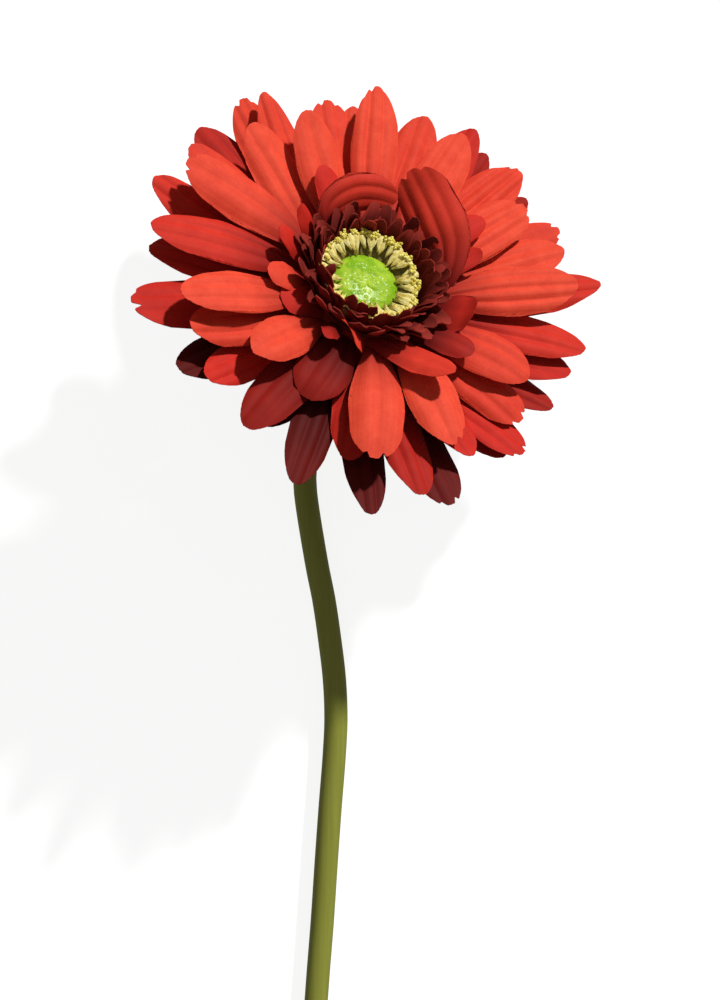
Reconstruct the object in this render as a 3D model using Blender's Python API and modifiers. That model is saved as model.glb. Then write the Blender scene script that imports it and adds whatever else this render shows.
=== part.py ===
"""An artificial gerbera lying on a surface: cloth petals in four rows round a plastic centre, on a wire stem.

The head faces up and back, and the stem curves down from it and lies along -Y. Lengths are in metres.
"""

import math
from collections import namedtuple

import bmesh
import bpy
from mathutils import Matrix, Vector

MM = 0.001
GAP = 0.3 * MM

# The head: where the middle of its disc is, and how far its axis leans from upright, towards which side.
DISC_CENTRE = Vector((-0.1, 142.45, 43.3)) * MM
HEAD_TILT = math.radians(37)
HEAD_TURN = math.radians(58)

# Everything on the head is placed by its radius and by its height along the head's axis, from the disc.
DISC_RADIUS = 7.5 * MM
DISC_RISE = 1.6 * MM
ANTHER_RADIUS = 12.8 * MM
CENTRE_FLOOR = -4.2 * MM
CORE_BOTTOM = -14.8 * MM
STEM_TOP = -17.3 * MM
CUP_BOTTOM = -25.0 * MM

CLOTH = 0.45 * MM
FLORET_CLOTH = 0.35 * MM
FOOT_WIDTH = 4.0 * MM
PETAL_CAMBER = 0.2
STEM_RADIUS = 3.0 * MM
WIRE_RADIUS = 1.2 * MM

# A petal leans sideways from straight outwards, and its tip slopes less than its foot by its fall.
# Angles are in degrees, and the sizes in these tables in mm.
Petal = namedtuple("Petal", "lean length fall width")
# A row's petals stand in order round the core, from the first one's direction. None is an empty place.
Row = namedtuple("Row", "foot_radius foot_height first rise petals")

FRONT_ROW = Row(14.3, -6.0, -2, 22, [
    Petal(8, 41, 20, 14), Petal(9, 38, 23, 14), Petal(7, 42, 23, 13), Petal(4, 45, 17, 12.5),
    Petal(-3, 36, 14, 13), Petal(18, 41, 21, 13.5), Petal(8, 43, 31, 13.5), Petal(1, 40, 20, 14),
    Petal(-3, 27, 17, 14), Petal(-10, 24, 42, 14), Petal(-11, 36, 38, 14), Petal(-15, 34, 35, 14),
    Petal(-1, 32, 23, 14),
])
SECOND_ROW = Row(13.4, -8.0, 16, 12, [
    Petal(2, 43, 2, 14), Petal(-1, 49, 11, 14), Petal(-3, 45, 5, 13), Petal(-4, 43, 5, 13),
    Petal(-6, 39, -1, 14), Petal(-16, 46, 11, 12), Petal(-14, 42, 23, 13), Petal(-13, 36, 11, 13),
    Petal(-9, 39, 30, 14), Petal(-5, 34, 34, 12), Petal(8, 37, 23, 12), Petal(-1, 37, 17, 13),
    Petal(2, 45, 14, 13),
])
THIRD_ROW = Row(12.4, -10.0, 2, 4, [
    Petal(9, 53, -4, 12.5), Petal(-9, 48, -8, 11.5), Petal(-6, 52, -4, 13), Petal(-5, 44, -10, 12),
    Petal(-13, 49, -10, 12), Petal(2, 47, -4, 13), Petal(10, 49, -1, 15), Petal(3, 39, 2, 13),
    Petal(7, 45, 17, 13), Petal(12, 44, 5, 13), Petal(14, 44, 2, 13), Petal(15, 44, -1, 13),
])
BACK_ROW = Row(11.4, -12.0, 17, -3, [
    Petal(19, 54, -13, 11.5), Petal(6, 53, -19, 12), None, Petal(10, 52, -15, 14),
    Petal(-12, 52, 10, 12), None, Petal(13, 43, -7, 13), Petal(9, 33, 4, 12),
    Petal(11, 49, -1, 13), Petal(3, 47, -7, 13), Petal(-9, 42, -7, 12), Petal(-17, 44, -10, 12),
])

# Small petals between the florets and the front row grow from one collar, each from some of its edges.
COLLAR_RADIUS = 15.2 * MM
COLLAR_EDGES = 60
SmallPetal = namedtuple("SmallPetal", "first_edge edges rise petal")
SMALL_PETALS = [
    SmallPetal(2, 3, 33, Petal(-4, 17, 23, 7)), SmallPetal(5, 3, 28, Petal(-10, 23, 16, 8)),
    SmallPetal(16, 3, 27, Petal(10, 19, 10, 8)), SmallPetal(23, 2, 48, Petal(-6, 14, 0, 5)),
    SmallPetal(26, 2, 42, Petal(-4, 14, 4, 6)), SmallPetal(29, 3, 30, Petal(0, 13, 18, 8)),
    SmallPetal(33, 4, 38, Petal(0, 12, 10, 10)), SmallPetal(38, 2, 36, Petal(0, 12, 2, 5)),
    SmallPetal(42, 3, 42, Petal(0, 14, 10, 6)), SmallPetal(46, 3, 30, Petal(30, 22, 10, 8)),
    SmallPetal(51, 3, 28, Petal(10, 17, 14, 8)), SmallPetal(55, 4, 36, Petal(4, 16, 6, 10)),
]

# Two broad petals curl sideways round the florets: how steeply the sheet stands, and its midrib as
# radius, direction and height.
CurledPetal = namedtuple("CurledPetal", "width stand midrib")
CURLED_PETALS = [
    CurledPetal(13.5, 50, [
        (16.6, 1, -2.8), (18.9, 9, 1.8), (21.4, 26, 5.2), (22.9, 43, 7.4), (25.0, 58, 9.2), (27.2, 70, 12),
    ]),
    CurledPetal(9, 58, [
        (16.5, 125, -2.8), (18.7, 122, 1.4), (20.6, 116, 4), (21.8, 101, 5.6), (22, 86, 6), (22, 72, 5.6),
    ]),
]

# The stem's route after the cup, down to the surface and along it to the cut end: across and along from
# under the disc's middle, and height over the surface.
STEM_ROUTE = [
    (-12.2, -20.6, 13.3), (-15.5, -31.1, 6.9), (-16.7, -43.3, 3.6), (-16.9, -52, 3), (-14.2, -69.4, 3),
    (-12.2, -79.6, 3), (-10.7, -89.8, 3), (-9.5, -100, 3), (-9.1, -110.2, 3), (-9.6, -120.4, 3),
    (-10.6, -133, 3), (-11.6, -147, 3), (-12.6, -162, 3), (-14, -180, 3), (-16, -210, 3), (-18, -240, 3),
    (-19.6, -270, 3), (-20.6, -300, 3), (-21, -322, 3), (-21.2, -336, 3),
]
STEM_SPACING = 8 * MM


def clear_scene():
    for old in list(bpy.data.objects):
        bpy.data.objects.remove(old)


def head_matrix():
    """Turns the head's own frame, with its axis up +Z, to where the head lies."""
    across = Vector((-math.sin(HEAD_TURN), math.cos(HEAD_TURN), 0))
    return Matrix.Translation(DISC_CENTRE) @ Matrix.Rotation(HEAD_TILT, 4, across)


def principled(name, colour, roughness, metallic=0.0):
    material = bpy.data.materials.new(name)
    material.use_nodes = True
    shader = material.node_tree.nodes["Principled BSDF"]
    shader.inputs["Base Color"].default_value = (*colour, 1)
    shader.inputs["Roughness"].default_value = roughness
    shader.inputs["Metallic"].default_value = metallic
    return material


def add_object(name, data, material):
    data.materials.append(material)
    obj = bpy.data.objects.new(name, data)
    PARTS.objects.link(obj)
    return obj


def add_cloth(name, bm, thickness, material):
    """Lays an open surface, made in the head's frame, on the head and gives it its thickness."""
    bm.transform(HEAD)
    mesh = bpy.data.meshes.new(name)
    bm.to_mesh(mesh)
    bm.free()
    mesh.shade_smooth()
    solidify(add_object(name, mesh, material), thickness, 0)


def solidify(obj, thickness, offset):
    modifier = obj.modifiers.new("thickness", "SOLIDIFY")
    modifier.thickness = thickness
    modifier.offset = offset


def ring_point(radius, turn, height):
    return Vector((radius * math.cos(turn), radius * math.sin(turn), height))


def smooth_point(route, stretch, share):
    """A point on the smooth curve through the route, at a share of the way along one of its stretches."""
    start, stop = route[stretch], route[stretch + 1]
    before = route[stretch - 1] if stretch else 2 * start - stop
    after = route[stretch + 2] if stretch + 2 < len(route) else 2 * stop - start
    square, cube = share ** 2, share ** 3
    pull = (stop - before) * 0.5 * (share - 2 * square + cube) + (after - start) * 0.5 * (cube - square)
    return start.lerp(stop, 3 * square - 2 * cube) + pull


def half_width(width, along, widest=0.6, blunt_tip=0.12):
    """A petal has a narrow foot, is full past its middle and has a round tip."""
    foot = FOOT_WIDTH / width
    if along < widest:
        return width / 2 * (foot + (1 - foot) * math.sin(math.pi / 2 * along / widest) ** 1.4)
    past = (along - widest) / (1 - widest)
    return width / 2 * math.sqrt(max(blunt_tip ** 2, 1 - past ** 2.4))


def petal_point(foot_radius, foot_height, direction, rise, petal, along, across):
    """A point of a petal's middle surface. along runs 0 to 1 from foot to tip, across -1 to 1."""
    heading = math.radians(direction + petal.lean)

    def ahead(share):
        slope = math.radians(rise - petal.fall * share)
        return ring_point(math.cos(slope), heading, math.sin(slope))

    steps = 16
    midrib = ring_point(foot_radius, math.radians(direction), foot_height)
    for step in range(steps):
        midrib += ahead((step + 0.5) / steps * along) * petal.length * MM * along / steps
    side = ring_point(1, heading + math.pi / 2, 0)
    half = half_width(petal.width * MM, along)
    drop = PETAL_CAMBER * half * across ** 2
    return midrib + side * half * across - ahead(along).cross(side) * drop


def add_petal_row(number, row, material):
    for place, petal in enumerate(row.petals):
        if petal is None:
            continue
        direction = row.first + 360 / len(row.petals) * place
        bm = bmesh.new()
        bmesh.ops.create_grid(bm, x_segments=4, y_segments=8, size=1)
        for vert in bm.verts:
            along = (vert.co.y + 1) / 2
            foot = (row.foot_radius * MM, row.foot_height * MM, direction)
            vert.co = petal_point(*foot, row.rise, petal, along, vert.co.x)
        count = sum(other is not None for other in row.petals[:place + 1])
        add_cloth(f"petal_{number}_{count:02d}", bm, CLOTH, material)


def add_curled_petals(material):
    for number, curled in enumerate(CURLED_PETALS, 1):
        route = [ring_point(r * MM, math.radians(turn), height * MM) for r, turn, height in curled.midrib]
        stand = math.radians(curled.stand)
        bm = bmesh.new()
        bmesh.ops.create_grid(bm, x_segments=4, y_segments=12, size=1)
        for vert in bm.verts:
            along = (vert.co.y + 1) / 2
            stretch = min(int(along * (len(route) - 1)), len(route) - 2)
            share = along * (len(route) - 1) - stretch
            point = smooth_point(route, stretch, share)
            step = smooth_point(route, stretch, share + 0.01) - smooth_point(route, stretch, share - 0.01)
            outward = Vector((point.x, point.y, 0)).normalized()
            facing = Vector((0, 0, math.cos(stand))) - outward * math.sin(stand)
            side = facing.cross(step).normalized()
            vert.co = point + side * half_width(curled.width * MM, along) * vert.co.x
        add_cloth(f"curled_petal_{number}", bm, CLOTH, material)


def start_collar(bm, radius, bottom, top, segments):
    """A short upright band, open at both edges. Returns its top edges in order round the head."""
    bmesh.ops.create_circle(bm, segments=segments, radius=radius)
    for vert in bm.verts:
        vert.co = ring_point(radius, 2 * math.pi * vert.index / segments, bottom)
    raised = bmesh.ops.extrude_edge_only(bm, edges=list(bm.edges))["geom"]
    for item in raised:
        if isinstance(item, bmesh.types.BMVert):
            item.co.z = top

    def turn(edge):
        middle = edge.verts[0].co + edge.verts[1].co
        return math.atan2(middle.y, middle.x) % (2 * math.pi)

    return sorted((item for item in raised if isinstance(item, bmesh.types.BMEdge)), key=turn)


def grow_lobe(bm, edges, rows, place):
    """Draws edges out into a lobe. place gives a point from along (0 to 1) and across (-1 to 1)."""
    verts = list(dict.fromkeys(vert for edge in edges for vert in edge.verts))
    centre = sum((vert.co for vert in verts), Vector()) / len(verts)
    side = Vector((-centre.y, centre.x, 0)).normalized()
    reach = max(abs((vert.co - centre).dot(side)) for vert in verts)
    across = {vert: (vert.co - centre).dot(side) / reach for vert in verts}
    for row in range(1, rows + 1):
        drawn = bmesh.ops.extrude_edge_only(bm, edges=edges)["geom"]
        edges = [item for item in drawn if isinstance(item, bmesh.types.BMEdge)]
        new = [item for item in drawn if isinstance(item, bmesh.types.BMVert)]
        across = {vert: across[min(across, key=lambda old: (old.co - vert.co).length)] for vert in new}
        for vert in new:
            vert.co = place(row / rows, across[vert])


def add_small_petals(material):
    bm = bmesh.new()
    top = CENTRE_FLOOR + 0.6 * MM
    edges = start_collar(bm, COLLAR_RADIUS, top - 1 * MM, top, COLLAR_EDGES)
    for small in SMALL_PETALS:
        direction = 360 / COLLAR_EDGES * (small.first_edge + small.edges / 2)

        def place(along, across):
            return petal_point(COLLAR_RADIUS, top, direction, small.rise, small.petal, along, across)

        grow_lobe(bm, edges[small.first_edge:small.first_edge + small.edges], 5, place)
    add_cloth("small_petals", bm, CLOTH, material)


def add_florets(name, base_radius, count, length, slope, phase, material):
    """A collar with a ring of small strips that stand up and outwards, each a little unlike the next."""
    bm = bmesh.new()
    top = CENTRE_FLOOR + 1.5 * MM
    edges = start_collar(bm, base_radius, CENTRE_FLOOR, top, count * 3)
    for number in range(count):
        turn = 2 * math.pi * (number + 1 / 3) / count
        lean = math.radians(slope + 7 * math.sin(2.4 * number + phase))
        tall = length * (1 + 0.12 * math.sin(3.7 * number + phase))

        def place(along, across):
            half = 0.42 * 2 * math.pi * base_radius / count * (1 - 0.55 * along ** 2)
            foot = ring_point(base_radius, turn, top)
            side = ring_point(half * across, turn + math.pi / 2, 0)
            return foot + side + ring_point(math.cos(lean), turn, math.sin(lean)) * tall * along

        grow_lobe(bm, edges[3 * number:3 * number + 2], 2, place)
    add_cloth(name, bm, FLORET_CLOTH, material)


def add_turned(name, profile, material):
    """A closed solid turned about the head's axis. The profile runs down its outer side."""
    bm = bmesh.new()
    verts = [bm.verts.new((radius, 0, height)) for radius, height in profile]
    for first, second in zip(verts, verts[1:]):
        bm.edges.new((first, second))
    mesh = bpy.data.meshes.new(name)
    bm.to_mesh(mesh)
    bm.free()
    obj = add_object(name, mesh, material)
    obj.matrix_world = HEAD
    screw = obj.modifiers.new("turn", "SCREW")
    screw.steps = screw.render_steps = 40
    screw.use_merge_vertices = True
    screw.merge_threshold = 0.00001


def add_disc(material):
    angles = [math.radians(15 * step) for step in range(7)]
    dome = [(DISC_RADIUS * math.sin(angle), DISC_RISE * (math.cos(angle) - 1)) for angle in angles]
    add_turned("green_disc", [*dome, (DISC_RADIUS, CENTRE_FLOOR), (0, CENTRE_FLOOR)], material)


def add_anther_ring(material):
    """Slopes up from the disc to a rim."""
    inside = DISC_RADIUS + GAP
    profile = [
        (inside, CENTRE_FLOOR), (inside, -0.6 * MM), (10.0 * MM, 1.2 * MM), (11.4 * MM, 2.9 * MM),
        (12.2 * MM, 3.3 * MM), (ANTHER_RADIUS, 2.6 * MM), (ANTHER_RADIUS, CENTRE_FLOOR),
        (inside, CENTRE_FLOOR),
    ]
    add_turned("anther_ring", profile, material)


def add_core(material):
    """The petals' feet are set against its sloping side."""
    top = CENTRE_FLOOR - GAP
    profile = [
        (0, top), (13.7 * MM, top), (13.9 * MM, -5.2 * MM), (13.5 * MM, -6.4 * MM), (11.7 * MM, -10.0 * MM),
        (10.5 * MM, -12.4 * MM), (10.1 * MM, CORE_BOTTOM), (0, CORE_BOTTOM),
    ]
    add_turned("core", profile, material)


def add_cup(material):
    """The green cup under the petals has a socket, which the stem is pushed into."""
    top = CORE_BOTTOM - GAP
    socket = STEM_RADIUS + GAP
    profile = [
        (0, top), (10.9 * MM, top), (11.3 * MM, top - 0.6 * MM), (9.6 * MM, -18.6 * MM),
        (6.8 * MM, -22.4 * MM), (4.8 * MM, CUP_BOTTOM), (socket, CUP_BOTTOM), (socket, STEM_TOP + GAP),
        (0, STEM_TOP + GAP),
    ]
    add_turned("cup", profile, material)


def stem_points():
    """Straight out of the cup, then on a smooth curve through the route."""
    route = [HEAD @ Vector((0, 0, height)) for height in (STEM_TOP, CUP_BOTTOM + 1 * MM)]
    foot = Vector((DISC_CENTRE.x, DISC_CENTRE.y, 0))
    route += [foot + Vector(point) * MM for point in STEM_ROUTE]
    points = [route[0]]
    for stretch in range(len(route) - 1):
        pieces = max(1, round((route[stretch + 1] - route[stretch]).length / STEM_SPACING))
        points += [smooth_point(route, stretch, piece / pieces) for piece in range(1, pieces + 1)]
    return points


def add_tube(name, points, radius, caps, material):
    curve = bpy.data.curves.new(name, "CURVE")
    curve.dimensions = "3D"
    curve.bevel_depth = radius
    curve.bevel_resolution = 3
    curve.use_fill_caps = caps
    spline = curve.splines.new("POLY")
    spline.points.add(len(points) - 1)
    for slot, point in zip(spline.points, points):
        slot.co = (*point, 1)
    return add_object(name, curve, material)


def add_stem(plastic, steel):
    """A plastic sleeve over a steel wire, cut off square at the far end."""
    points = stem_points()
    sleeve = add_tube("stem", points, STEM_RADIUS, False, plastic)
    solidify(sleeve, STEM_RADIUS - WIRE_RADIUS - GAP, -1)
    add_tube("stem_wire", points, WIRE_RADIUS, True, steel)


clear_scene()
PARTS = bpy.data.collections.new("artificial_gerbera")
bpy.context.scene.collection.children.link(PARTS)
HEAD = head_matrix()

red_cloth = principled("red_cloth", (0.80, 0.07, 0.04), 0.8)
dark_cloth = principled("dark_floret_cloth", (0.045, 0.008, 0.007), 0.85)
green_plastic = principled("moulded_green_plastic", (0.13, 0.20, 0.03), 0.5)

for row_number, petal_row in enumerate((FRONT_ROW, SECOND_ROW, THIRD_ROW, BACK_ROW), 1):
    add_petal_row(row_number, petal_row, red_cloth)
add_curled_petals(red_cloth)
add_small_petals(red_cloth)
add_florets("inner_florets", 13.3 * MM, 26, 9.0 * MM, 66, 0.0, dark_cloth)
add_florets("outer_florets", 14.2 * MM, 24, 9.5 * MM, 55, 1.3, dark_cloth)
add_disc(principled("glossy_green_plastic", (0.32, 0.48, 0.06), 0.25))
add_anther_ring(principled("cream_plastic", (0.70, 0.58, 0.20), 0.5))
add_core(green_plastic)
add_cup(green_plastic)
stem_plastic = principled("stem_plastic", (0.24, 0.30, 0.04), 0.45)
add_stem(stem_plastic, principled("steel_wire", (0.45, 0.45, 0.45), 0.4, 1.0))
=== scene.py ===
"""An artificial gerbera lying on a table: pressed cloth petals round a moulded middle, on a coated wire."""

import math
import random
from collections import namedtuple

import bmesh
import bpy
from mathutils import Matrix, Vector


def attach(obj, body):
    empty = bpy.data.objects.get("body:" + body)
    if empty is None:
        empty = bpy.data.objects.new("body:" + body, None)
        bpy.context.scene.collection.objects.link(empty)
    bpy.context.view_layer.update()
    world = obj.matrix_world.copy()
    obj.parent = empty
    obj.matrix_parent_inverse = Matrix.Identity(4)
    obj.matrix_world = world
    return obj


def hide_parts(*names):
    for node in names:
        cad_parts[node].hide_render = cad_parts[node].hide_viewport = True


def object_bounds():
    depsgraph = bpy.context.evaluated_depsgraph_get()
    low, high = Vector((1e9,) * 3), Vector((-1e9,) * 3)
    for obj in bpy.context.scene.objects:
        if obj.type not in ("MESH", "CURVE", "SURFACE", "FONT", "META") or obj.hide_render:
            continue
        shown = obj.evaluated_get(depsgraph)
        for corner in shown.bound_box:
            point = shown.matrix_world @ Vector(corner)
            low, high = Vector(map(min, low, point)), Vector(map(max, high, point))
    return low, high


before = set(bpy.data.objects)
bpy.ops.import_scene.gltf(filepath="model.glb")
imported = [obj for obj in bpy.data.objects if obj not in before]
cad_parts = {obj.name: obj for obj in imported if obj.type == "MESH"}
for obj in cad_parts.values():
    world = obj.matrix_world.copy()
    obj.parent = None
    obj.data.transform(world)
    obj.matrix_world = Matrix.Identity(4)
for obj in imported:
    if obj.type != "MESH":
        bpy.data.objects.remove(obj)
cad_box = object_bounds()

MM = 0.001

# ---------------------------------------------------------------------------------------------------------
# The camera: it hangs over the flower and looks straight down, with the head at the top of the picture and
# the stem's lower half running out of it.

DISC_CENTRE = Vector((-0.1, 142.45, 43.3)) * MM
CAMERA_FROM_DISC = Vector((-2.94, -54.1, 900)) * MM
CAMERA_LENS = 132.2

lens = bpy.data.cameras.new("camera")
lens.lens = CAMERA_LENS
camera = bpy.data.objects.new("camera", lens)
camera.location = DISC_CENTRE + CAMERA_FROM_DISC
bpy.context.scene.collection.objects.link(camera)
bpy.context.scene.camera = camera
bpy.context.scene.view_settings.view_transform = "Standard"

# ---------------------------------------------------------------------------------------------------------
# The petals of the four rows: each is die-cut from stiffened polyester cloth and heat-pressed between two
# moulds, which gives it rounded lengthwise ribs and fine veins. Their feet are glued against the core.

HEAD_TILT = math.radians(37)
HEAD_TURN = math.radians(58)
CLOTH = 0.18 * MM
FOOT_WIDTH = 4.0
FOOT_FLARE = 1.4
PETAL_CAMBER = 0.2
VEIN_SPACING = 1.2
VEIN_DEPTH = 0.015
NOTCH_HALF_WIDTH = 0.13
PETAL_COLUMNS = 36
PETAL_ROWS = 64
# Shares of a petal's length: where it is widest, where its ribs are full, where they start to fade out
# towards the tip, and where the tip starts to curl.
WIDEST = 0.6
RIBS_FULL = 0.22
RIBS_FADE = 0.7
CURL_START = 0.72
# The ribs are rounded where they meet, lie partly above and partly below the cloth, lose this share of their
# depth at the tip, and are deepest round one place across the petal.
VALLEY_ROUNDING = 0.03
RIB_MIDDLE = 0.6
RIB_FADE = 0.55
DEEPEST_RIB = 1.1
RIB_WEAKENING = 0.5
# No two petals are pressed alike. Their edges wave through this many radians from foot to tip, and each has
# its own height of the wave in mm, twist, curl of the tip in mm, skew of the ribs, pressure of the mould and
# place across it where the ribs are deepest.
EDGE_WAVES = 11
EDGE_WAVE = (0.15, 0.6)
TWIST = (-0.14, 0.14)
TIP_CURL = (-1.6, 0.9)
RIB_SKEW = (-0.2, 0.2)
PRESSURE = (0.7, 1.15)
DEEPEST_PLACE = (-0.8, 0.8)
# The cut edge frays: by up to this many mm at the tip, and by this share of the half width along the sides.
TIP_FRAY = 0.2
SIDE_FRAY = 0.01
ON_EDGE = 0.999

# How full a tip is, how far the ribs draw together towards it, and its notches, each a place across the
# petal and a depth in mm.
Tip = namedtuple("Tip", "fullness taper notches")
ROUND = Tip(2.8, 0.22, [])
POINTED = Tip(2.3, 0.3, [])
TOOTHED = Tip(3.8, 0.15, [(-0.35, 1.1), (0.3, 1.4)])
STEPPED = Tip(2.6, 0.25, [(0.3, 1.5), (0.65, 0.8)])
SPLIT = Tip(3.6, 0.15, [(0.12, 2.6), (-0.5, 0.8)])

# Angles in degrees and lengths in mm. Each petal also has its painted shade, from 0, bright, to 1, nearly
# brown, its ribs and its tip. The painted shade darkens petals that lie in the shade of others or face away
# from the lamp, most of all those low in the head.
Petal = namedtuple("Petal", "lean length fall width dye ribs tip", defaults=(0, 3, ROUND))
Row = namedtuple("Row", "foot_radius foot_height first rise petals")

FRONT_ROW = Row(14.3, -6.0, -2, 22, [
    Petal(8, 41, 20, 14, 0, 4), Petal(9, 38, 23, 14, 0, 4, TOOTHED), Petal(7, 42, 23, 13),
    Petal(4, 45, 17, 12.5, 0, 3, STEPPED), Petal(-3, 36, 14, 13, 0, 2),
    Petal(18, 41, 21, 13.5, 0.05, 2, TOOTHED), Petal(8, 43, 31, 13.5, 0.25), Petal(1, 38, 20, 12.8),
    Petal(-3, 27, 17, 12.5, 0, 2), Petal(-10, 24, 42, 14, 0.72), Petal(-11, 36, 38, 14, 0, 2, TOOTHED),
    Petal(-15, 34, 35, 14, 0, 2, STEPPED), Petal(-1, 32, 23, 14, 0.1),
])
SECOND_ROW = Row(13.4, -8.0, 16, 12, [
    Petal(2, 43, 2, 14), Petal(-1, 49, 11, 14, 0.1, 4, STEPPED), Petal(-3, 45, 5, 13, 0.1),
    Petal(-4, 43, 5, 13, 0.1, 3, TOOTHED), Petal(-6, 39, -1, 14), Petal(-19, 44, 11, 13.5, 0.15, 2),
    Petal(-14, 42, 23, 13, 0.3), Petal(-13, 37, 11, 13, 0.1), Petal(-9, 39, 30, 13, 0.7),
    Petal(-5, 34, 34, 12, 0.35), Petal(8, 37, 23, 12, 0.3), Petal(-1, 37, 17, 13, 0.15, 3, TOOTHED),
    Petal(2, 45, 14, 13, 0.25),
])
THIRD_ROW = Row(12.4, -10.0, 2, 4, [
    Petal(9, 53, -4, 12.5, 0.25, 3, POINTED), Petal(-9, 48, -8, 11.5, 0.1, 2, TOOTHED),
    Petal(-6, 52, -4, 13, 0.3), Petal(-5, 44, -10, 12), Petal(-13, 49, -10, 12, 0.1, 3, POINTED),
    Petal(2, 47, -4, 13, 0.25), Petal(10, 49, -1, 15, 0.4, 3, SPLIT), Petal(3, 39, 2, 12, 0.3),
    Petal(9, 45, 17, 11.5, 0.9), Petal(12, 44, 5, 13, 0.5), Petal(14, 44, 2, 13, 0.3, 3, TOOTHED),
    Petal(15, 44, -1, 13, 0.35),
])
BACK_ROW = Row(11.4, -12.0, 17, -3, [
    Petal(25, 51, -13, 11.5, 0.6), Petal(6, 51, -19, 12, 0.6), None, Petal(10, 52, -15, 14, 0.1, 4, TOOTHED),
    Petal(-13, 51, -7, 15, 0.5), None, Petal(13, 43, -7, 13, 0.95), Petal(9, 33, 4, 12, 0.95),
    Petal(15, 48, -1, 11, 0.93), Petal(3, 47, -7, 13, 0.9, 3, TOOTHED), Petal(-9, 42, -7, 12, 0.4),
    Petal(-17, 44, -10, 12, 0.6),
])


def linear(colour):
    """An sRGB hex colour as the linear colour that a shader takes."""
    channels = [int(colour[at:at + 2], 16) / 255 for at in (1, 3, 5)]
    return (*[c / 12.92 if c <= 0.04045 else ((c + 0.055) / 1.055) ** 2.4 for c in channels], 1)


def add_node(material, kind, settings, inputs):
    """Adds a node. Each input takes a value or another node's output."""
    node = material.node_tree.nodes.new("ShaderNode" + kind)
    for name, value in settings.items():
        setattr(node, name, value)
    for name, value in inputs.items():
        if isinstance(value, bpy.types.NodeSocket):
            material.node_tree.links.new(value, node.inputs[name])
        else:
            node.inputs[name].default_value = value
    return node


def start_material(name, finish):
    """A new material with the finish set on its shader's own sockets."""
    material = bpy.data.materials.new(name)
    material.use_nodes = True
    shader = material.node_tree.nodes["Principled BSDF"]
    for socket, value in finish.items():
        shader.inputs[socket].default_value = value
    return material, shader


def head_matrix():
    """Turns the head's own frame, with its axis up +Z, to where the head lies."""
    across = Vector((-math.sin(HEAD_TURN), math.cos(HEAD_TURN), 0))
    return Matrix.Translation(DISC_CENTRE) @ Matrix.Rotation(HEAD_TILT, 4, across)


HEAD = head_matrix()


def ring_point(radius, turn, height):
    return Vector((radius * math.cos(turn), radius * math.sin(turn), height))


def add_piece(name, bm, material, node):
    """Makes the mesh a piece of the flower that stands for a CAD node."""
    mesh = bpy.data.meshes.new(name)
    bm.to_mesh(mesh)
    bm.free()
    mesh.shade_smooth()
    mesh.materials.append(material)
    obj = bpy.data.objects.new(name, mesh)
    bpy.context.scene.collection.objects.link(obj)
    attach(obj, "root")
    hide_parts(node)
    return obj


def thicken(obj, thickness, offset=0):
    """Gives cloth its thickness, with crisp cut edges."""
    crisp = bmesh.new()
    crisp.from_mesh(obj.data)
    for edge in crisp.edges:
        edge.smooth = not edge.is_boundary
    crisp.to_mesh(obj.data)
    crisp.free()
    modifier = obj.modifiers.new("thickness", "SOLIDIFY")
    modifier.thickness = thickness
    modifier.offset = offset


def cut_half_width(width, along, taper):
    """Half the width that the ribs spread over: narrow at the foot, full past the middle."""
    if along < WIDEST:
        foot = FOOT_WIDTH / width
        return width / 2 * (foot + (1 - foot) * math.sin(math.pi / 2 * along / WIDEST) ** FOOT_FLARE)
    return width / 2 * (1 - taper * ((along - WIDEST) / (1 - WIDEST)) ** 2)


def tip_reach(tip, across, length):
    """How far along the petal its cut edge is, at a place across it."""
    reach = WIDEST + (1 - WIDEST) * max(0, 1 - abs(across) ** 2) ** (1 / tip.fullness)
    for place, depth in tip.notches:
        reach -= depth / length * max(0, 1 - abs(across - place) / NOTCH_HALF_WIDTH)
    return reach


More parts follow.
